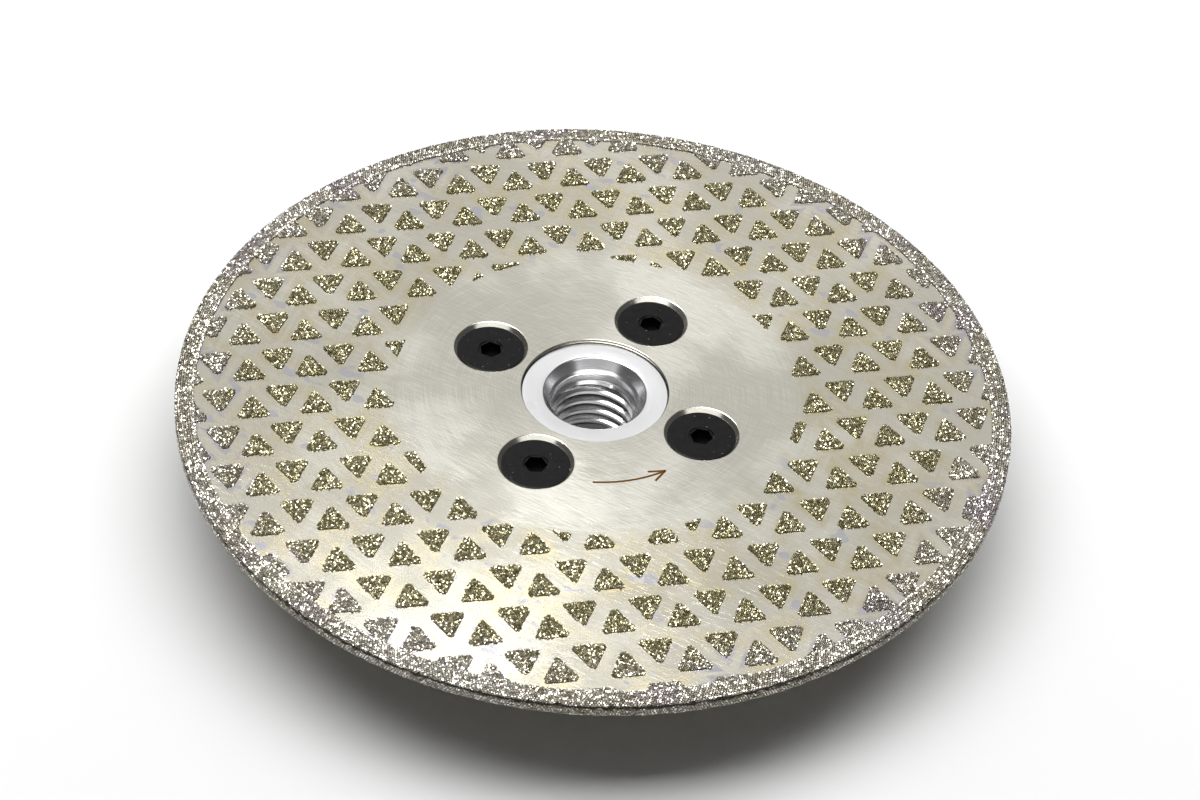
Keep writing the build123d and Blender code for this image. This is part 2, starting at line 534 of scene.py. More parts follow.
def grain_tops(centres, corners, spread):
    """The six points of each grain's top, and how much its tilt lifts or lowers each, in millimetres."""
    arms = (corners - centres[:, None]) * random.uniform(0.5, 0.68, (len(centres), 1, 1))
    tilt = random.normal(0, spread, (len(centres), 1, 2))
    return centres[:, None] + arms, (arms * tilt).sum(-1)


def segment_distance(px, py, corners):
    """Signed distance to a triangle given by three corners counted anticlockwise, negative inside."""
    nearest = np.full(px.shape, 1e9)
    inside = np.ones(px.shape, bool)
    for (ax, ay), (bx, by) in zip(corners, corners[1:] + corners[:1]):
        ex, ey = bx - ax, by - ay
        wx, wy = px - ax, py - ay
        along = np.clip((wx * ex + wy * ey) / (ex * ex + ey * ey), 0, 1)
        nearest = np.minimum(nearest, np.hypot(wx - along * ex, wy - along * ey))
        inside &= ex * wy - ey * wx >= 0
    return np.where(inside, -nearest, nearest)


def triangle_distance(px, py, growth):
    """Signed distance to a rounded triangle about its centroid, pointing along +y."""
    width, height = TRI_WIDTH + growth, TRI_HEIGHT + growth
    corner = TRI_CORNER + growth / 4
    side = math.hypot(width / 2, height)
    in_radius = width * height / (width + 2 * side)
    centre_y = -height / 3 + in_radius
    shrink = 1 - corner / in_radius
    sharp = [(-width / 2, -height / 3), (width / 2, -height / 3), (0, 2 * height / 3)]
    inner = [(x * shrink, centre_y + (y - centre_y) * shrink) for x, y in sharp]
    return segment_distance(px, py, inner) - corner


def triangle_places():
    """Centroid, turn and growth of each triangle."""
    rows = math.ceil(DISC_R / ROW_SPACING) + 1
    columns = math.ceil(DISC_R / PITCH) + 1
    places = []
    for row in range(-rows, rows + 1):
        for column in range(-columns, columns + 1):
            base = FIRST_ROW + row * ROW_SPACING
            pair = (
                ((column + 0.5) * PITCH, base, False),
                (column * PITCH, base + TURNED_SHIFT, True),
            )
            for u, v, turned in pair:
                radius = math.hypot(u, v)
                if CLEAR_R - 4 < radius < DISC_R + 1.2:
                    outward = min(max((radius - CLEAR_R) / (DISC_R - CLEAR_R), 0), 1)
                    places.append((u, v, turned, GROWTH * outward))
    return places


def touches_band(u, v, turned, growth):
    """True if a triangle's outline reaches the rim band."""
    turn = math.pi if turned else 0.0
    reach = (TRI_HEIGHT + growth) * 2 / 3 - TRI_CORNER
    for k in range(3):
        angle = turn + math.pi / 2 + k * 2 * math.pi / 3
        if math.hypot(u + reach * math.cos(angle), v + reach * math.sin(angle)) > BAND_R - 0.15:
            return True
    return False


def smooth_union(a, b, size):
    """Signed distance to two shapes joined with a hollow fillet."""
    blend = np.clip(0.5 + 0.5 * (b - a) / size, 0, 1)
    return b + (a - b) * blend - size * blend * (1 - blend)


def patch_distance(points, place, joined):
    """Signed distance from points in a triangle's own frame to its patch of grit."""
    u, v, turned, growth = place
    sign = -1.0 if turned else 1.0
    x, y = points[..., 0], points[..., 1]
    radius = np.hypot(u + sign * x, v + sign * y)
    own = triangle_distance(x, y, growth)
    if joined:
        own = smooth_union(own, BAND_R - radius, 0.9)
        return np.maximum(own, radius - (BAND_R + 0.45))
    return np.maximum(own, CLEAR_R - radius)


def slope_of(function, points, step=0.01):
    """Unit gradient of a distance."""
    dx, dy = np.array([step, 0.0]), np.array([0.0, step])
    slope = np.stack([function(points + d) - function(points - d) for d in (dx, dy)], -1)
    return slope / np.maximum(np.linalg.norm(slope, axis=-1, keepdims=True), 1e-9)


def grit_patch(place, joined):
    """One patch of grit in its triangle's own frame: points, triangles, floor and a shade per point."""
    reach, low, high = (4.2, -3.7, 4.5) if joined else (3.3, -2.4, 4.0)
    rows = int((high - low) / GRAIN / math.sqrt(0.75)) + 3
    columns = int(2 * reach / GRAIN + rows / 2) + 3
    phase = random.uniform(-0.5, 0.5, 2) * GRAIN
    start = (phase[0] - reach - rows / 2 * GRAIN, phase[1] + low - GRAIN)
    field = GrainField(GRAIN, columns, rows, start)
    ragged = random.uniform(-0.04, 0.04, field.centres.shape[:2])
    chosen = patch_distance(field.centres, place, joined) + ragged < -0.06
    chosen[[0, -1]] = False
    chosen[:, [0, -1]] = False
    j, i = np.nonzero(chosen)
    count = len(i)
    if count < 9:
        return None
    used, ring = np.unique(field.around(i, j), return_inverse=True)
    ring = ring.reshape(-1, 6)
    centres, middles = field.centres[j, i], field.middles[used]

    def distance(p):
        return patch_distance(p, place, joined)

    beyond = np.maximum(distance(middles) - random.uniform(-0.02, 0.08, len(middles)), 0)
    middles = middles - slope_of(distance, middles) * beyond[:, None]
    enclosed = np.bincount(ring.ravel(), minlength=len(used)) == 3
    valley = np.where(enclosed, COAT * random.uniform(0.2, 0.42, len(used)), 0.0)
    shade = random.random(count)
    tops, lift = grain_tops(centres, middles[ring], TILT)
    level = COAT * random.uniform(0.6, 0.92, (count, 1)) + lift
    points = np.concatenate(
        [
            np.concatenate([tops, level[..., None]], -1).reshape(-1, 3),
            np.column_stack([middles, valley]),
        ]
    )
    # Valley points get -0.6, which marks where the material paints shade between grains.
    shades = np.concatenate([np.repeat(shade, 6), np.full(len(middles), -0.6)])
    faces = grain_faces(ring, count)
    after = np.roll(ring, -1, axis=1)
    edges = np.stack([ring.ravel(), after.ravel()], 1)
    keys, back = edges @ (len(used), 1), edges @ (1, len(used))
    border = edges[~np.isin(keys, back)] + 6 * count
    return points, faces, chained(border), shades


def chained(edges):
    """Closed loops from directed edges."""
    following = {}
    for a, b in edges.tolist():
        following.setdefault(a, []).append(b)
    loops = []
    while following:
        first = at = next(iter(following))
        loop = []
        while True:
            loop.append(at)
            ways = following[at]
            before, at = at, ways.pop()
            if not ways:
                del following[before]
            if at == first or at not in following:
                break
        if len(loop) > 2:
            loops.append(loop)
    return loops


def add_shades(piece, shades):
    """Keeps each grain's shade on its points, and the valleys' mark for painted shade, for the material.
    """
    attribute = piece.data.attributes.new("shade", "FLOAT", "POINT")
    attribute.data.foreach_set("value", np.asarray(shades, np.float32))


def grit_object(name, places, joined, side, replaced):
    """All patches of one kind on one face of the disc as one piece. side is 1 on top and -1 behind."""
    points, triangles, floors, shades = [], [], [], []
    count = 0
    for place in places:
        made = grit_patch(place, joined)
        if made is None:
            continue
        p, faces, loops, shade = made
        u, v, turned, _ = place
        sign = -1.0 if turned else 1.0
        points.append(np.column_stack([u + sign * p[:, 0], v + sign * p[:, 1], p[:, 2]]))
        triangles.append(faces + count)
        floors += [[count + k for k in loop] for loop in loops]
        shades.append(shade)
        count += len(p)
    p = np.concatenate(points)
    cos_a, sin_a = math.cos(ROW_ANGLE), math.sin(ROW_ANGLE)
    x, y = p[:, 0] * cos_a - p[:, 1] * sin_a, p[:, 0] * sin_a + p[:, 1] * cos_a
    z = TOP_Z + p[:, 2] if side > 0 else BACK_Z - p[:, 2]
    faces = np.concatenate(triangles).tolist() + [loop[::-1] for loop in floors]
    if side < 0:
        faces = [f[::-1] for f in faces]
    piece = make_object(
        name, np.column_stack([x, y, z]), faces, replaced, smooth=False
    )
    add_shades(piece, np.concatenate(shades))
    return piece


def rim_path(side):
    """Half of the rim's gritted outline, from its inner top edge round the corner to the middle of its
    edge. The working side's plating overhangs a groove, whose shade the rim's material paints dark."""
    corner = 0.26
    edge_r = DISC_R - 0.04
    groove_r = DISC_R - 0.26
    top = TOP_Z + COAT
    path = [(BAND_R, top), (DISC_R - corner, top)]
    for k in range(1, 5):
        t = math.pi / 2 * (1 - k / 4)
        path.append((DISC_R - corner + corner * math.cos(t), top - corner + corner * math.sin(t)))
    if side > 0:
        # The groove's roof, floor and lower lip, by depth below the plating's top.
        path += [(groove_r, top - 0.36), (groove_r, top - 0.9), (edge_r, top - 1.04)]
    return path + [(edge_r, MIDDLE_Z)]


def make_rim(side):
    """Half of the plated rim as a closed ring: gritted outside, plain and hidden inside."""
    path = np.array(rim_path(side))
    steps = np.diff(path, axis=0)
    lengths = np.hypot(*steps.T)
    travelled = np.concatenate([[0], np.cumsum(lengths)])
    total = travelled[-1]
    outward = np.column_stack([-steps[:, 1], steps[:, 0]]) / lengths[:, None]
    halfway = (travelled[:-1] + travelled[1:]) / 2
    columns = int(round(2 * math.pi * DISC_R / RIM_GRAIN))
    rows = int(round(total / (RIM_GRAIN * math.sqrt(0.75)))) + 1
    field = GrainField(RIM_GRAIN, columns, rows, closed=True)
    scale = total / ((rows - 1) * RIM_GRAIN * math.sqrt(0.75))
    i, j = [a.ravel() for a in np.meshgrid(np.arange(columns), np.arange(1, rows))]
    used, ring = np.unique(field.around(i, j), return_inverse=True)
    ring = ring.reshape(-1, 6)
    count = len(i)
    middles = field.middles[used]
    centres = field.centres[j, i]
    around = middles[ring]
    circle = columns * RIM_GRAIN
    wrapped = np.round((around[..., 0] - centres[:, None, 0]) / circle) * circle
    around = around - np.stack([wrapped, np.zeros_like(wrapped)], -1)
    tops, lift = grain_tops(centres, around, RIM_TILT)

    def placed(p, depth):
        along = np.clip((p[:, 1] - RIM_GRAIN / 2) * scale, 0, total)
        turn = p[:, 0] / circle * 2 * math.pi
        normal = np.stack([np.interp(along, halfway, outward[:, k]) for k in (0, 1)], 1)
        normal = normal / np.linalg.norm(normal, axis=1, keepdims=True)
        r = np.interp(along, travelled, path[:, 0]) + normal[:, 0] * depth
        z = np.interp(along, travelled, path[:, 1]) + normal[:, 1] * depth
        r = np.where(z < TOP_Z + 0.02, np.maximum(r, CORE_R + 0.02), r)
        return np.column_stack([r * np.cos(turn), r * np.sin(turn), z])

    depth = -COAT * random.uniform(0.12, 0.42, (count, 1)) + lift
    high = placed(tops.reshape(-1, 2), np.minimum(depth, 0).ravel())
    low = placed(middles, -COAT * random.uniform(0.6, 0.85, len(used)))
    enclosed = np.bincount(ring.ravel(), minlength=len(used)) == 3
    first = ~enclosed & (middles[:, 1] < rows * RIM_GRAIN / 2)
    last = ~enclosed & ~first
    turn = np.mod(middles[:, 0] / circle * 2 * math.pi, 2 * math.pi)
    rings = []
    for flags, radius, level in ((first, BAND_R, TOP_Z), (last, DISC_R - 0.2, MIDDLE_Z)):
        chosen = np.nonzero(flags)[0]
        chosen = chosen[np.argsort(turn[chosen])]
        r = radius + random.uniform(-0.08, 0.08, len(chosen))
        low[chosen] = np.column_stack(
            [r * np.cos(turn[chosen]), r * np.sin(turn[chosen]), np.full(len(chosen), level)]
        )
        rings.append(chosen)
    inner = []
    for chosen, level in zip(rings, (TOP_Z, MIDDLE_Z)):
        angle = turn[chosen]
        inner.append(
            np.column_stack(
                [CORE_R * np.cos(angle), CORE_R * np.sin(angle), np.full(len(chosen), level)]
            )
        )
    size = len(rings[0])
    start = 6 * count + len(used)
    hidden = start + np.arange(size)
    loops = [rings[0] + 6 * count, hidden, hidden + size, rings[1] + 6 * count]
    faces = [grain_faces(ring, count)]
    for a, b in zip(loops, loops[1:]):
        a_after, b_after = np.roll(a, -1), np.roll(b, -1)
        faces += [np.stack([a, b, b_after], 1), np.stack([a, b_after, a_after], 1)]
    points = np.concatenate([high, low] + inner)
    if side < 0:
        points[:, 2] = 2 * MIDDLE_Z - points[:, 2]
    name = "rim_grit_top" if side > 0 else "rim_grit_back"
    piece = make_object(name, points, np.concatenate(faces), ["rim_coating"], False)
    # Valley points get -0.6, which marks where the material paints shade between grains.
    shades = [np.repeat(random.random(count), 6), np.full(len(used), -0.6), np.zeros(2 * size)]
    add_shades(piece, np.concatenate(shades))
    turn_outwards(piece)
    return piece


# ---------------------------------------------------------------- laser marking


def make_arrow():
    """The direction arrow burnt into the working side, as a thin film just above the steel. Its outline
    is worked out with complex numbers: a shaft along an arc, and two barbs from its tip."""
    radius, start, end = 19.6, math.radians(-62.4), math.radians(-29.8)
    width, lift, steps = 0.34, 0.012, 48
    barb_length, barb_angle = 2.6, math.radians(24)
    points, faces = [], []
    for k in range(steps + 1):
        spoke = cmath.exp(1j * (start + (end - start) * k / steps))
        for r in (radius - width / 2, radius + width / 2):
            points.append((r * spoke.real, r * spoke.imag, TOP_Z + lift))
    faces += [(2 * k, 2 * k + 1, 2 * k + 3, 2 * k + 2) for k in range(steps)]
    tip, heading = radius * cmath.exp(1j * end), 1j * cmath.exp(1j * end)
    for side in (-1, 1):
        barb = heading * cmath.exp(1j * (math.pi - side * barb_angle))
        across = barb * 1j * width / 2
        near, far = tip - barb * 0.1, tip + barb * barb_length
        n = len(points)
        for p in (near - across, near + across, far + across, far - across):
            points.append((p.real, p.imag, TOP_Z + lift + 0.004))
        faces.append((n, n + 3, n + 2, n + 1))
    return points, faces


# ---------------------------------------------------------------- materials


class Shader:
    """Adds and joins shader nodes with little writing."""

    def __init__(self, name):
        self.material = bpy.data.materials.new(name)
        self.material.use_nodes = True
        self.tree = self.material.node_tree
        self.principled = self.tree.nodes["Principled BSDF"]

    def link(self, value, socket):
        if isinstance(value, bpy.types.NodeSocket):
            self.tree.links.new(value, socket)
        else:
            socket.default_value = value

    def node(self, kind, settings=None, **inputs):
        made = self.tree.nodes.new(kind)
        for key, value in (settings or {}).items():
            setattr(made, key, value)
        for key, value in inputs.items():
            self.link(value, made.inputs[key.replace("_", " ")])
        return made

    def math(self, operation, a, b=0.0, c=0.0):
        made = self.tree.nodes.new("ShaderNodeMath")
        made.operation = operation
        for value, socket in zip((a, b, c), made.inputs):
            self.link(value, socket)
        return made.outputs[0]

    def mix(self, share, a, b, kind="MIX"):
        made = self.tree.nodes.new("ShaderNodeMix")
        made.data_type = "RGBA"
        made.blend_type = kind
        self.link(share, made.inputs[0])
        self.link(a, made.inputs[6])
        self.link(b, made.inputs[7])
        return made.outputs[2]

    def remap(self, value, low, high, to_low=0.0, to_high=1.0):
        """Smooth step from to_low to to_high while value goes from low to high."""
        made = self.tree.nodes.new("ShaderNodeMapRange")
        made.interpolation_type = "SMOOTHSTEP"
        for number, socket in zip((value, low, high, to_low, to_high), made.inputs):
            self.link(number, socket)
        return made.outputs[0]

    def position(self):
        return self.tree.nodes.new("ShaderNodeTexCoord").outputs["Object"]

    def noise(self, vector, scale, detail=2.0, roughness=0.5):
        made = self.node(
            "ShaderNodeTexNoise", Vector=vector, Scale=scale, Detail=detail, Roughness=roughness
        )
        return made.outputs["Fac"]

    def stretched(self, vector, scale, turn):
        made = self.node("ShaderNodeMapping", Vector=vector)
        made.inputs["Rotation"].default_value = (0, 0, turn)
        made.inputs["Scale"].default_value = scale
        return made.outputs["Vector"]

    def polar(self, vector):
        """Radius and angle about Z, and height."""
        split = self.node("ShaderNodeSeparateXYZ", Vector=vector)
        x, y, z = split.outputs
        square = self.math("ADD", self.math("MULTIPLY", x, x), self.math("MULTIPLY", y, y))
        radius = self.math("SQRT", square)
        angle = self.math("ARCTAN2", y, x)
        return radius, angle, z

    def combine(self, x, y, z):
        made = self.node("ShaderNodeCombineXYZ", X=x, Y=y, Z=z)
        return made.outputs[0]

    def bump(self, height, strength, distance, normal=None):
        made = self.node("ShaderNodeBump", Height=height, Strength=strength, Distance=distance)
        if normal is not None:
            self.link(normal, made.inputs["Normal"])
        return made.outputs["Normal"]

    def finish(self, **inputs):
        for key, value in inputs.items():
            self.link(value, self.principled.inputs[key.replace("_", " ")])
        return self.material


def rgb(r, g, b):
    return (r, g, b, 1.0)


def pattern_distance(s, vector):
    """Distance in metres to the nearest triangle of grit, negative within it."""
    turned = s.stretched(vector, (1, 1, 1), -ROW_ANGLE)
    split = s.node("ShaderNodeSeparateXYZ", Vector=turned)
    u, v, _ = split.outputs
    cell_low = FIRST_ROW - (ROW_SPACING - TURNED_SHIFT) / 2
    half_pitch = PITCH * MM / 2
    x_up = s.math("ABSOLUTE", s.math("WRAP", s.math("SUBTRACT", u, half_pitch), half_pitch, -half_pitch))
    y = s.math("WRAP", v, (cell_low + ROW_SPACING) * MM, cell_low * MM)
    x_down = s.math("SUBTRACT", half_pitch, x_up)
    y_up = s.math("SUBTRACT", y, FIRST_ROW * MM)
    y_down = s.math("SUBTRACT", (FIRST_ROW + TURNED_SHIFT) * MM, y)
    width, height = (TRI_WIDTH + 0.3) * MM, (TRI_HEIGHT + 0.3) * MM
    length = math.hypot(height, width / 2)
    distances = []
    for x, y in ((x_up, y_up), (x_down, y_down)):
        base = s.math("SUBTRACT", s.math("MULTIPLY", y, -1.0), height / 3)
        slope = s.math("MULTIPLY_ADD", x, height / length, s.math("MULTIPLY", y, width / 2 / length))
        slope = s.math("ADD", slope, (height / 3 - height) * width / 2 / length)
        distances.append(s.math("MAXIMUM", base, slope))
    return s.math("MINIMUM", *distances)


def steel_material():
    """Plated and brushed steel, with heat tint and stains round the grit."""
    s = Shader("brushed_blade_steel")
    here = s.position()
    radius, angle, _ = s.polar(here)
    # Brushing: fine rings about the axis, then two sets of straight rubbing marks.
    along = s.combine(s.math("MULTIPLY", radius, 9000.0), s.math("MULTIPLY", angle, 3.0), 0.0)
    rings = s.noise(along, 1.0, 3.0, 0.6)
    rub_a = s.noise(s.stretched(here, (260, 5200, 1), math.radians(52)), 1.0, 3.0, 0.62)
    rub_b = s.noise(s.stretched(here, (300, 4200, 1), math.radians(-24)), 1.0, 3.0, 0.6)
    patches = s.remap(s.noise(here, 55.0, 3.0), 0.4, 0.65)
    brushing = s.math("ADD", s.math("MULTIPLY", rings, 0.5), s.math("MULTIPLY", rub_a, 0.6))
    brushing = s.math("ADD", brushing, s.math("MULTIPLY", s.math("MULTIPLY", rub_b, patches), 0.5))
    # Scratches, only where the plate is worn.
    scratch_a = s.noise(s.stretched(here, (230, 19000, 1), math.radians(18)), 1.0, 0.0)
    scratch_b = s.noise(s.stretched(here, (260, 17000, 1), math.radians(-62)), 1.0, 0.0)
    deepest = s.math("MAXIMUM", s.remap(scratch_a, 0.72, 0.82), s.remap(scratch_b, 0.72, 0.82))
    worn = s.remap(s.noise(here, 38.0, 2.0), 0.45, 0.7)
    scratches = s.math("MULTIPLY", deepest, worn)
    # Heat tint and stains, and painted shade on the bore's wall.
    gap = s.math("MINIMUM", pattern_distance(s, here), s.math("SUBTRACT", BAND_R * MM, radius))
    wander = s.math("MULTIPLY", s.math("SUBTRACT", s.noise(here, 420.0, 3.0), 0.5), 0.0014)
    gap = s.math("ADD", gap, wander)
    in_pattern = s.remap(radius, 0.0282, 0.0335)
    near_rim = s.remap(radius, 0.048, 0.058)
    mottle = s.remap(s.noise(here, 170.0, 3.0), 0.4, 0.62)
    close = s.math("MULTIPLY", s.remap(gap, -0.0004, 0.0017, 1.0, 0.0), in_pattern)
    yellow = s.math("MULTIPLY", close, s.math("MULTIPLY_ADD", mottle, 0.85, 0.0))
    hugging = s.math("MULTIPLY", s.remap(gap, 0.0001, 0.0006, 1.0, 0.0), near_rim)
    violet = s.math("MULTIPLY", hugging, s.remap(s.noise(here, 110.0, 2.0), 0.45, 0.62, 0.0, 0.9))
    spot = s.remap(s.noise(s.stretched(here, (1, 1.4, 1), 1.0), 240.0, 1.0), 0.665, 0.71)
    spot = s.math("MULTIPLY", s.math("MULTIPLY", spot, in_pattern), 0.65)
    smudge = s.remap(s.noise(here, 42.0, 5.0, 0.62), 0.5, 0.72)
    smudge = s.math("MULTIPLY", smudge, s.math("MULTIPLY", in_pattern, 0.55))
    base = s.mix(s.remap(brushing, 0.46, 0.9), rgb(0.545, 0.53, 0.46), rgb(0.735, 0.72, 0.645))
    base = s.mix(s.math("MULTIPLY", in_pattern, 0.45), base, rgb(0.53, 0.50, 0.41))
    base = s.mix(smudge, base, rgb(0.49, 0.445, 0.325))
    base = s.mix(yellow, base, rgb(0.435, 0.38, 0.235))
    base = s.mix(violet, base, rgb(0.40, 0.385, 0.435))
    base = s.mix(spot, base, rgb(0.42, 0.42, 0.485))
    base = s.mix(s.math("MULTIPLY", scratches, 0.4), base, rgb(0.90, 0.89, 0.85))
    specks = s.remap(s.noise(here, 1500.0, 1.0), 0.78, 0.82)
    base = s.mix(s.math("MULTIPLY", specks, 0.5), base, rgb(0.2, 0.17, 0.12))
    # Painted shade: the bore's wall, which stands against the flange's boss, is painted dark.
    base = s.mix(s.remap(radius, 0.01113, 0.01119, 0.9, 0.0), base, rgb(0.17, 0.16, 0.13))
    roughness = s.math("MULTIPLY_ADD", brushing, 0.1, 0.14)
    roughness = s.math("MULTIPLY_ADD", yellow, 0.1, roughness)
    normal = s.bump(brushing, 0.1, 0.00003)
    normal = s.bump(scratches, 0.15, 0.00002, normal)
    tangent = s.node("ShaderNodeTangent", {"direction_type": "RADIAL", "axis": "Z"}).outputs[0]
    return s.finish(
        Base_Color=base,
        Metallic=1.0,
        Roughness=roughness,
        Normal=normal,
        Anisotropic=0.4,
        Anisotropic_Rotation=0.25,
        Tangent=tangent,
    )


def grit_material(name, rim_share):
    """Diamond grit in nickel: each grain has its own shade, and the plating greys towards the rim. The
    valleys between grains and the groove under the rim's top edge are painted dark as shade.
    """
    s = Shader(name)
    here = s.position()
    radius, _, z = s.polar(here)
    shade = s.node("ShaderNodeAttribute", {"attribute_name": "shade"}).outputs["Fac"]
    grain = s.math("MAXIMUM", shade, 0.0)
    # Painted shade: the valleys between grains, whose points carry a shade of -0.6, are painted dark.
    gap = s.remap(shade, -0.6, -0.1, 0.85, 0.0)
    fleck = s.noise(here, 5200.0, 2.0, 0.6)
    drift = s.noise(here, 60.0, 2.0)
    ramp = s.node("ShaderNodeValToRGB", Fac=grain)
    stops = ramp.color_ramp
    stops.elements[0].position, stops.elements[0].color = 0.0, rgb(0.19, 0.175, 0.092)
    stops.elements[1].position, stops.elements[1].color = 1.0, rgb(0.97, 0.955, 0.86)
    for place, colour in (
        (0.4, rgb(0.385, 0.355, 0.205)),
        (0.75, rgb(0.60, 0.56, 0.375)),
        (0.92, rgb(0.82, 0.78, 0.61)),
    ):
        stop = stops.elements.new(place)
        stop.color = colour
    olive = ramp.outputs["Color"]
    grey = s.mix(s.math("POWER", grain, 1.3), rgb(0.31, 0.29, 0.255), rgb(0.97, 0.94, 0.885))
    rim = s.remap(radius, 0.050, 0.0605)
    rim = s.math("MULTIPLY", rim, s.remap(drift, 0.3, 0.62, 0.45, 1.0))
    rim = s.math("MAXIMUM", rim, rim_share)
    base = s.mix(rim, olive, grey)
    violet = s.remap(s.noise(here, 85.0, 2.0), 0.52, 0.68)
    violet = s.math("MULTIPLY", violet, s.math("MULTIPLY", rim, 0.45))
    base = s.mix(violet, base, rgb(0.30, 0.25, 0.34))
    base = s.mix(s.remap(fleck, 0.35, 0.75, 0.25, 0.0), base, rgb(0.13, 0.105, 0.05))
    base = s.mix(gap, base, rgb(0.11, 0.09, 0.045))
    # Painted shade: the groove under the rim's top edge is painted dark, by depth below the plating's
    # top.
    below = s.math("SUBTRACT", (TOP_Z + COAT) * MM, z)
    ragged = s.math("MULTIPLY_ADD", s.noise(here, 1100.0, 2.0), 0.0008, -0.0004)
    below = s.math("ADD", below, ragged)
    groove = s.math("MULTIPLY", s.remap(below, 0.00016, 0.0003), s.remap(radius, 0.0619, 0.06205))
    groove = s.math("MULTIPLY", groove, s.remap(below, 0.0008, 0.00105, 1.0, 0.0))
    base = s.mix(s.math("MULTIPLY", groove, 0.96), base, rgb(0.012, 0.01, 0.007))
    normal = s.bump(fleck, 0.5, 0.00006)
    roughness = s.remap(grain, 0.0, 1.0, 0.36, 0.16)
    return s.finish(Base_Color=base, Metallic=0.85, Roughness=roughness, Normal=normal)


def aluminium_material():
    """Turned aluminium: very fine rings on flats and walls, pale and satin, with painted shade in the
    thread's roots.
    """
    s = Shader("turned_aluminium")
    here = s.position()
    radius, angle, z = s.polar(here)
    lines = s.combine(
        s.math("MULTIPLY", radius, 7000.0), s.math("MULTIPLY", angle, 2.0), s.math("MULTIPLY", z, 7000.0)
    )
    rings = s.noise(lines, 1.0, 3.0, 0.6)
    smudge = s.noise(here, 260.0, 3.0)
    base = s.mix(rings, rgb(0.72, 0.72, 0.73), rgb(0.85, 0.85, 0.86))
    base = s.mix(s.remap(smudge, 0.6, 0.8, 0.0, 0.25), base, rgb(0.60, 0.60, 0.60))
    # Painted shade: the thread's roots deep in the bore are painted dark.
    root = s.math("MULTIPLY", s.remap(radius, 0.0061, 0.0068), s.remap(radius, 0.0071, 0.0072, 1.0, 0.0))
    root = s.math("MULTIPLY", root, s.remap(z, 0.0105, 0.0109, 0.85, 0.0))
    base = s.mix(root, base, rgb(0.17, 0.16, 0.13))
    roughness = s.math("MULTIPLY_ADD", rings, 0.1, 0.17)
    normal = s.bump(rings, 0.15, 0.00003)
    return s.finish(Base_Color=base, Metallic=1.0, Roughness=roughness, Normal=normal)


def screw_material():
    """Black oxide with a faint sheen and dust specks, dull deep in the socket."""
    s = Shader("black_oxide_steel")
    here = s.position()
    grime = s.noise(here, 900.0, 4.0, 0.6)
    dust = s.remap(s.noise(here, 2600.0, 1.0), 0.74, 0.78)
    base = s.mix(grime, rgb(0.002, 0.002, 0.002), rgb(0.006, 0.006, 0.006))
    base = s.mix(s.math("MULTIPLY", dust, 0.5), base, rgb(0.45, 0.44, 0.42))
    _, _, z = s.polar(here)
    deep = s.remap(z, 0.0116, 0.0128, 0.7, 0.0)
    roughness = s.math("ADD", deep, s.math("MULTIPLY_ADD", grime, 0.14, 0.22))
    normal = s.bump(grime, 0.25, 0.00005)
    return s.finish(
        Base_Color=base, Metallic=0.0, Roughness=roughness, Specular_IOR_Level=0.12, Normal=normal
    )


def mark_material():
    """Brown laser marking with a slightly uneven tone."""
    s = Shader("laser_mark")
    here = s.position()
    tone = s.noise(here, 3000.0, 2.0)
    base = s.mix(tone, rgb(0.085, 0.03, 0.003), rgb(0.19, 0.075, 0.01))
    return s.finish(Base_Color=base, Metallic=0.0, Roughness=0.85, Specular_IOR_Level=0.05)


def paint(piece, material):
    piece.data.materials.clear()
    piece.data.materials.append(material)


# ---------------------------------------------------------------- the object


def group_of(place):
    """The piece that a free triangle belongs to: its direction and its zone."""
    u, v, turned, _ = place
    return "turned" if turned else "upright", "outer" if math.hypot(u, v) > ZONE_R else "inner"


def build_object():
    grit_look = grit_material("diamond_grit", 0.0)
    rim_look = grit_material("diamond_grit_rim", 0.75)
    paint(make_core(), steel_material())
    paint(make_flange(), aluminium_material())
    black = screw_material()
    for number, centre in enumerate(screw_centres(), start=1):
        turn = math.radians((17, 44, 5, 29)[number - 1])
        paint(make_screw(f"countersunk_screw_{number}", centre, f"screw_{number}", turn), black)
    places = triangle_places()
    free = [p for p in places if not touches_band(*p)]
    joined = [p for p in places if touches_band(*p)]
    for side, face in ((1, "top"), (-1, "back")):
        for kind, zone in product(("upright", "turned"), ("inner", "outer")):
            chosen = [p for p in free if group_of(p) == (kind, zone)]
            name = f"{face}_triangles_{kind}_{zone}"
            paint(grit_object(name, chosen, False, side, [f"{face}_segments"]), grit_look)
        paint(grit_object(f"{face}_rim_teeth", joined, True, side, ["rim_coating"]), rim_look)
    for side in (1, -1):
        paint(make_rim(side), rim_look)
    points, faces = make_arrow()
    arrow = make_object("rotation_arrow", points, faces, smooth=False)
    paint(arrow, mark_material())


# ---------------------------------------------------------------- stage


# The camera's place and aim. Distance and target are in millimetres.
CAMERA_BEARING = math.radians(-64.4)
CAMERA_ELEVATION = math.radians(43.367)
CAMERA_DISTANCE = 447.77
CAMERA_ROLL = math.radians(4.2916)
CAMERA_TARGET = (1.766, -1.694, TOP_Z + 0.1)
CAMERA_LENS = 90.05


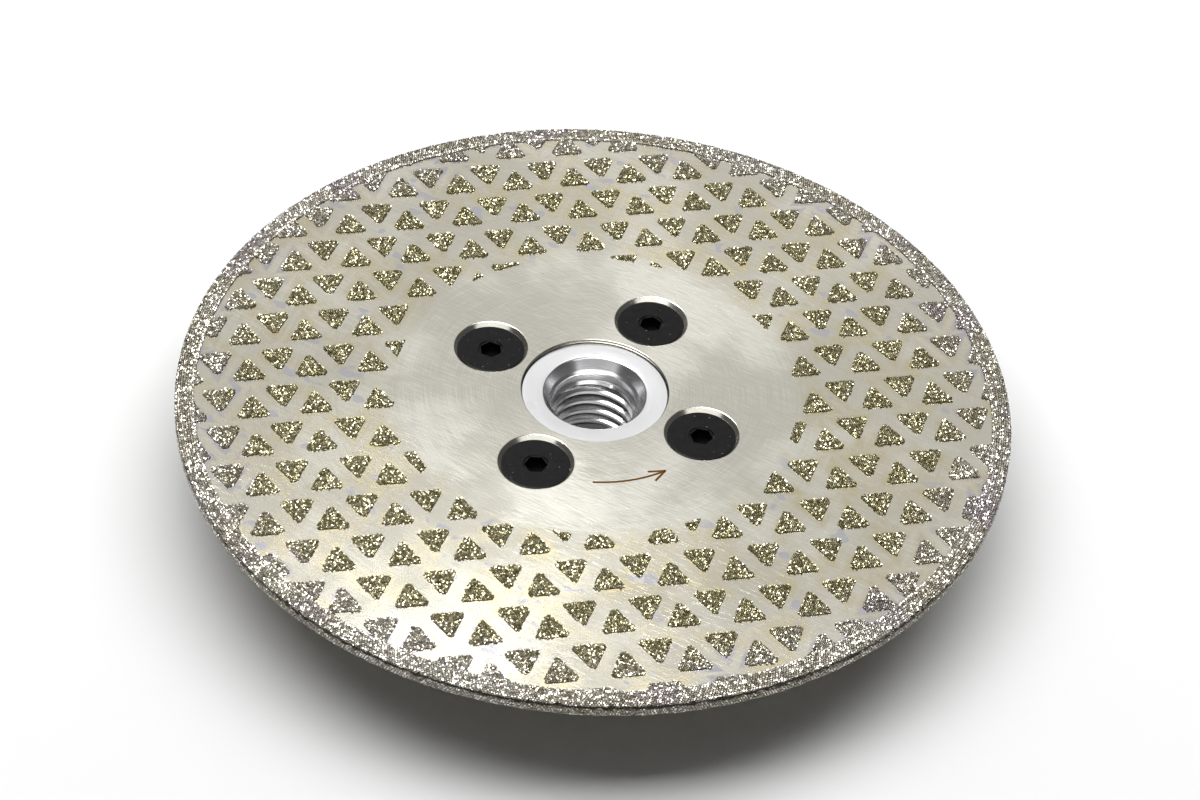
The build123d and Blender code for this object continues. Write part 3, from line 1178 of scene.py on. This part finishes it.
def make_camera():
    flat = Vector((math.cos(CAMERA_BEARING), math.sin(CAMERA_BEARING), 0))
    back = flat * math.cos(CAMERA_ELEVATION) + Vector((0, 0, math.sin(CAMERA_ELEVATION)))
    right = Vector((0, 0, 1)).cross(back).normalized()
    up = back.cross(right)
    tilted_right = right * math.cos(CAMERA_ROLL) + up * math.sin(CAMERA_ROLL)
    tilted_up = up * math.cos(CAMERA_ROLL) - right * math.sin(CAMERA_ROLL)
    data = bpy.data.cameras.new("camera")
    data.lens = CAMERA_LENS
    data.sensor_width = 36.0
    data.clip_start, data.clip_end = 0.01, 20.0
    camera = bpy.data.objects.new("camera", data)
    place = (Vector(CAMERA_TARGET) + back * CAMERA_DISTANCE) * MM
    aim = Matrix((tilted_right, tilted_up, back)).transposed().to_4x4()
    camera.matrix_world = Matrix.Translation(place) @ aim
    bpy.context.scene.collection.objects.link(camera)
    bpy.context.scene.camera = camera


def make_floor():
    """A large matt white table."""
    half = 0.9
    corners = [(-half, -half, 0), (half, -half, 0), (half, half, 0), (-half, half, 0)]
    mesh = bpy.data.meshes.new("table_top")
    mesh.from_pydata(corners, [], [(0, 1, 2, 3)])
    floor = bpy.data.objects.new("table_top", mesh)
    bpy.context.scene.collection.objects.link(floor)
    s = Shader("matt_white")
    paint(floor, s.finish(Base_Color=rgb(0.86, 0.86, 0.86), Roughness=0.9))


def softbox(name, bearing, elevation, distance, size, power, seen_by="all"):
    """A rectangular soft light that faces the disc, with its bearing counted from the camera's. It
    lights matt surfaces only, shows in reflections only, or does both."""
    data = bpy.data.lights.new(name, "AREA")
    data.shape = "RECTANGLE"
    data.size, data.size_y = size
    data.energy = power
    light = bpy.data.objects.new(name, data)
    turn = CAMERA_BEARING + math.radians(bearing)
    rise = math.radians(elevation)
    towards = Vector((math.cos(turn) * math.cos(rise), math.sin(turn) * math.cos(rise), math.sin(rise)))
    light.location = towards * distance
    light.rotation_mode = "QUATERNION"
    light.rotation_quaternion = towards.to_track_quat("Z", "Y")
    light.visible_diffuse = seen_by != "reflections"
    light.visible_glossy = seen_by != "matt"
    bpy.context.scene.collection.objects.link(light)


def make_light():
    """A dim world that looks pale to the camera, four lights behind the disc and two on its near side."""
    ambient, shown = 0.09, 0.9
    world = bpy.data.worlds.new("studio")
    bpy.context.scene.world = world
    world.use_nodes = True
    nodes = world.node_tree.nodes
    nodes["Background"].inputs["Color"].default_value = rgb(1, 1, 1)
    strength = nodes.new("ShaderNodeMapRange")
    strength.inputs["To Min"].default_value = ambient
    strength.inputs["To Max"].default_value = shown
    seen = nodes.new("ShaderNodeLightPath").outputs["Is Camera Ray"]
    world.node_tree.links.new(seen, strength.inputs["Value"])
    world.node_tree.links.new(strength.outputs[0], nodes["Background"].inputs["Strength"])
    # Name, bearing, elevation, distance, size, power, and what it reaches where that isn't all.
    softbox("key", 190, 72, 1.0, (1.8, 0.7), 14.5, "matt")
    softbox("fan", 231, 77, 1.0, (0.7, 0.5), 16.0, "reflections")
    softbox("backdrop", 182, 42, 1.5, (3.0, 1.6), 11.2)
    softbox("glow", 216, 60, 1.4, (0.4, 0.35), 2.5, "reflections")
    softbox("front_high", 0, 49, 1.6, (2.6, 0.9), 11.0, "reflections")
    softbox("front_low", 0, 16, 1.6, (3.2, 0.7), 2.6, "reflections")
    bpy.context.scene.view_settings.view_transform = "Standard"


build_object()
make_camera()
make_floor()
make_light()
